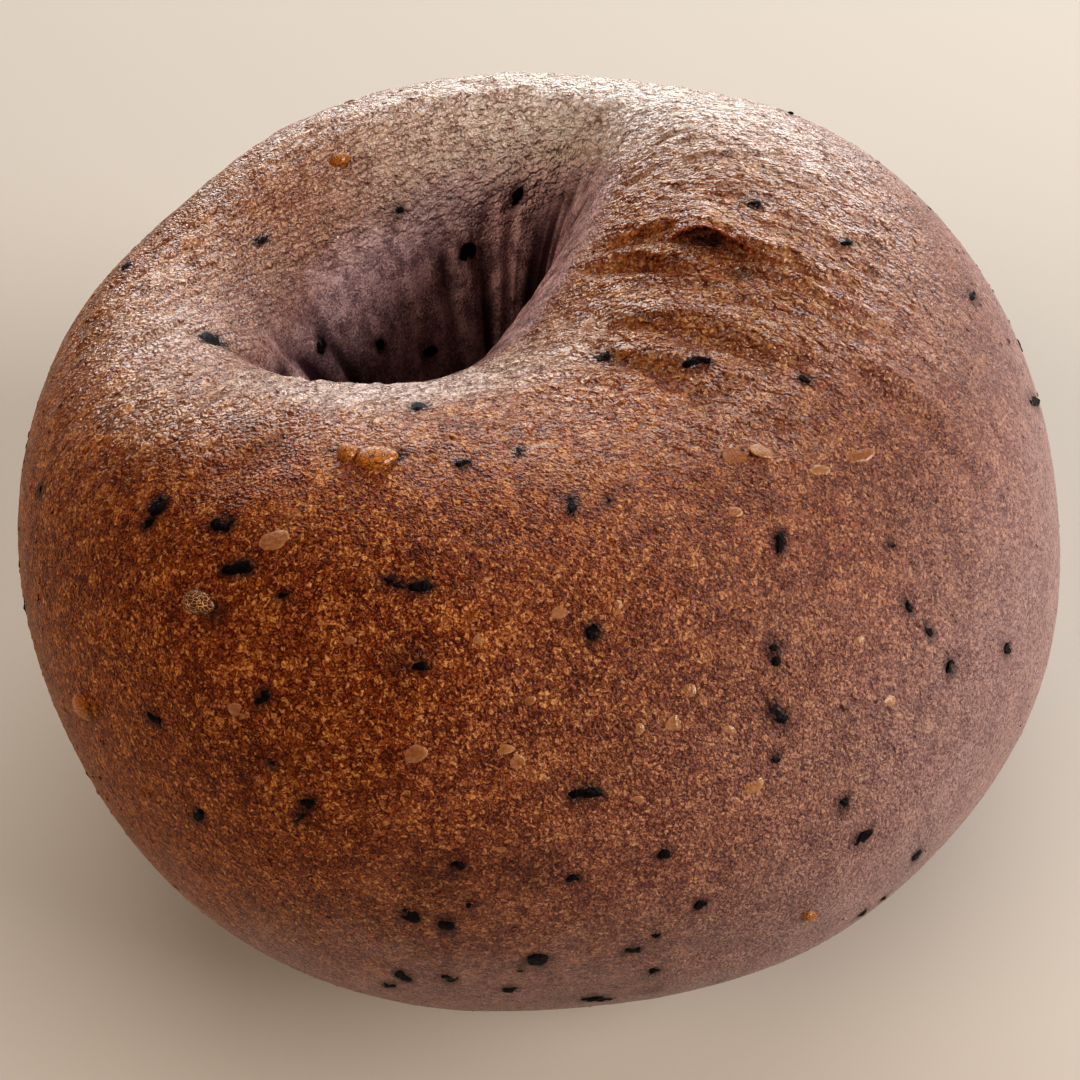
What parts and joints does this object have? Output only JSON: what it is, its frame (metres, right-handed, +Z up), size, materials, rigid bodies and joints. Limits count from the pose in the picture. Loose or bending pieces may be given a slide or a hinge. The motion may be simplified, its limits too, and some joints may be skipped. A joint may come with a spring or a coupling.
{
  "type": "bagel",
  "caption": "Plump baked berry bagel: a squat, uneven ring of browned mauve dough with a narrow slanting hole, lying on its flat base.",
  "frame": {"origin": "middle of the bagel's width and depth, on the flat base it rests on", "axes": "+Z up, the hole's mouth facing up; -Y is the tall plump front that the picture shows, +X its right"},
  "size_m": [0.092, 0.094, 0.0533],
  "materials": {
    "crust": "satin, finely pebbled baked crust, browned over mauve dough",
    "berry_skin": "matt, near-black dried berry skin",
    "berry_pip": "satin, netted tan berry pip",
    "grain_flake": "translucent pale bran flake"
  },
  "bodies": {
    "root": {"bagel": "crust"}
  },
  "joints": []
}
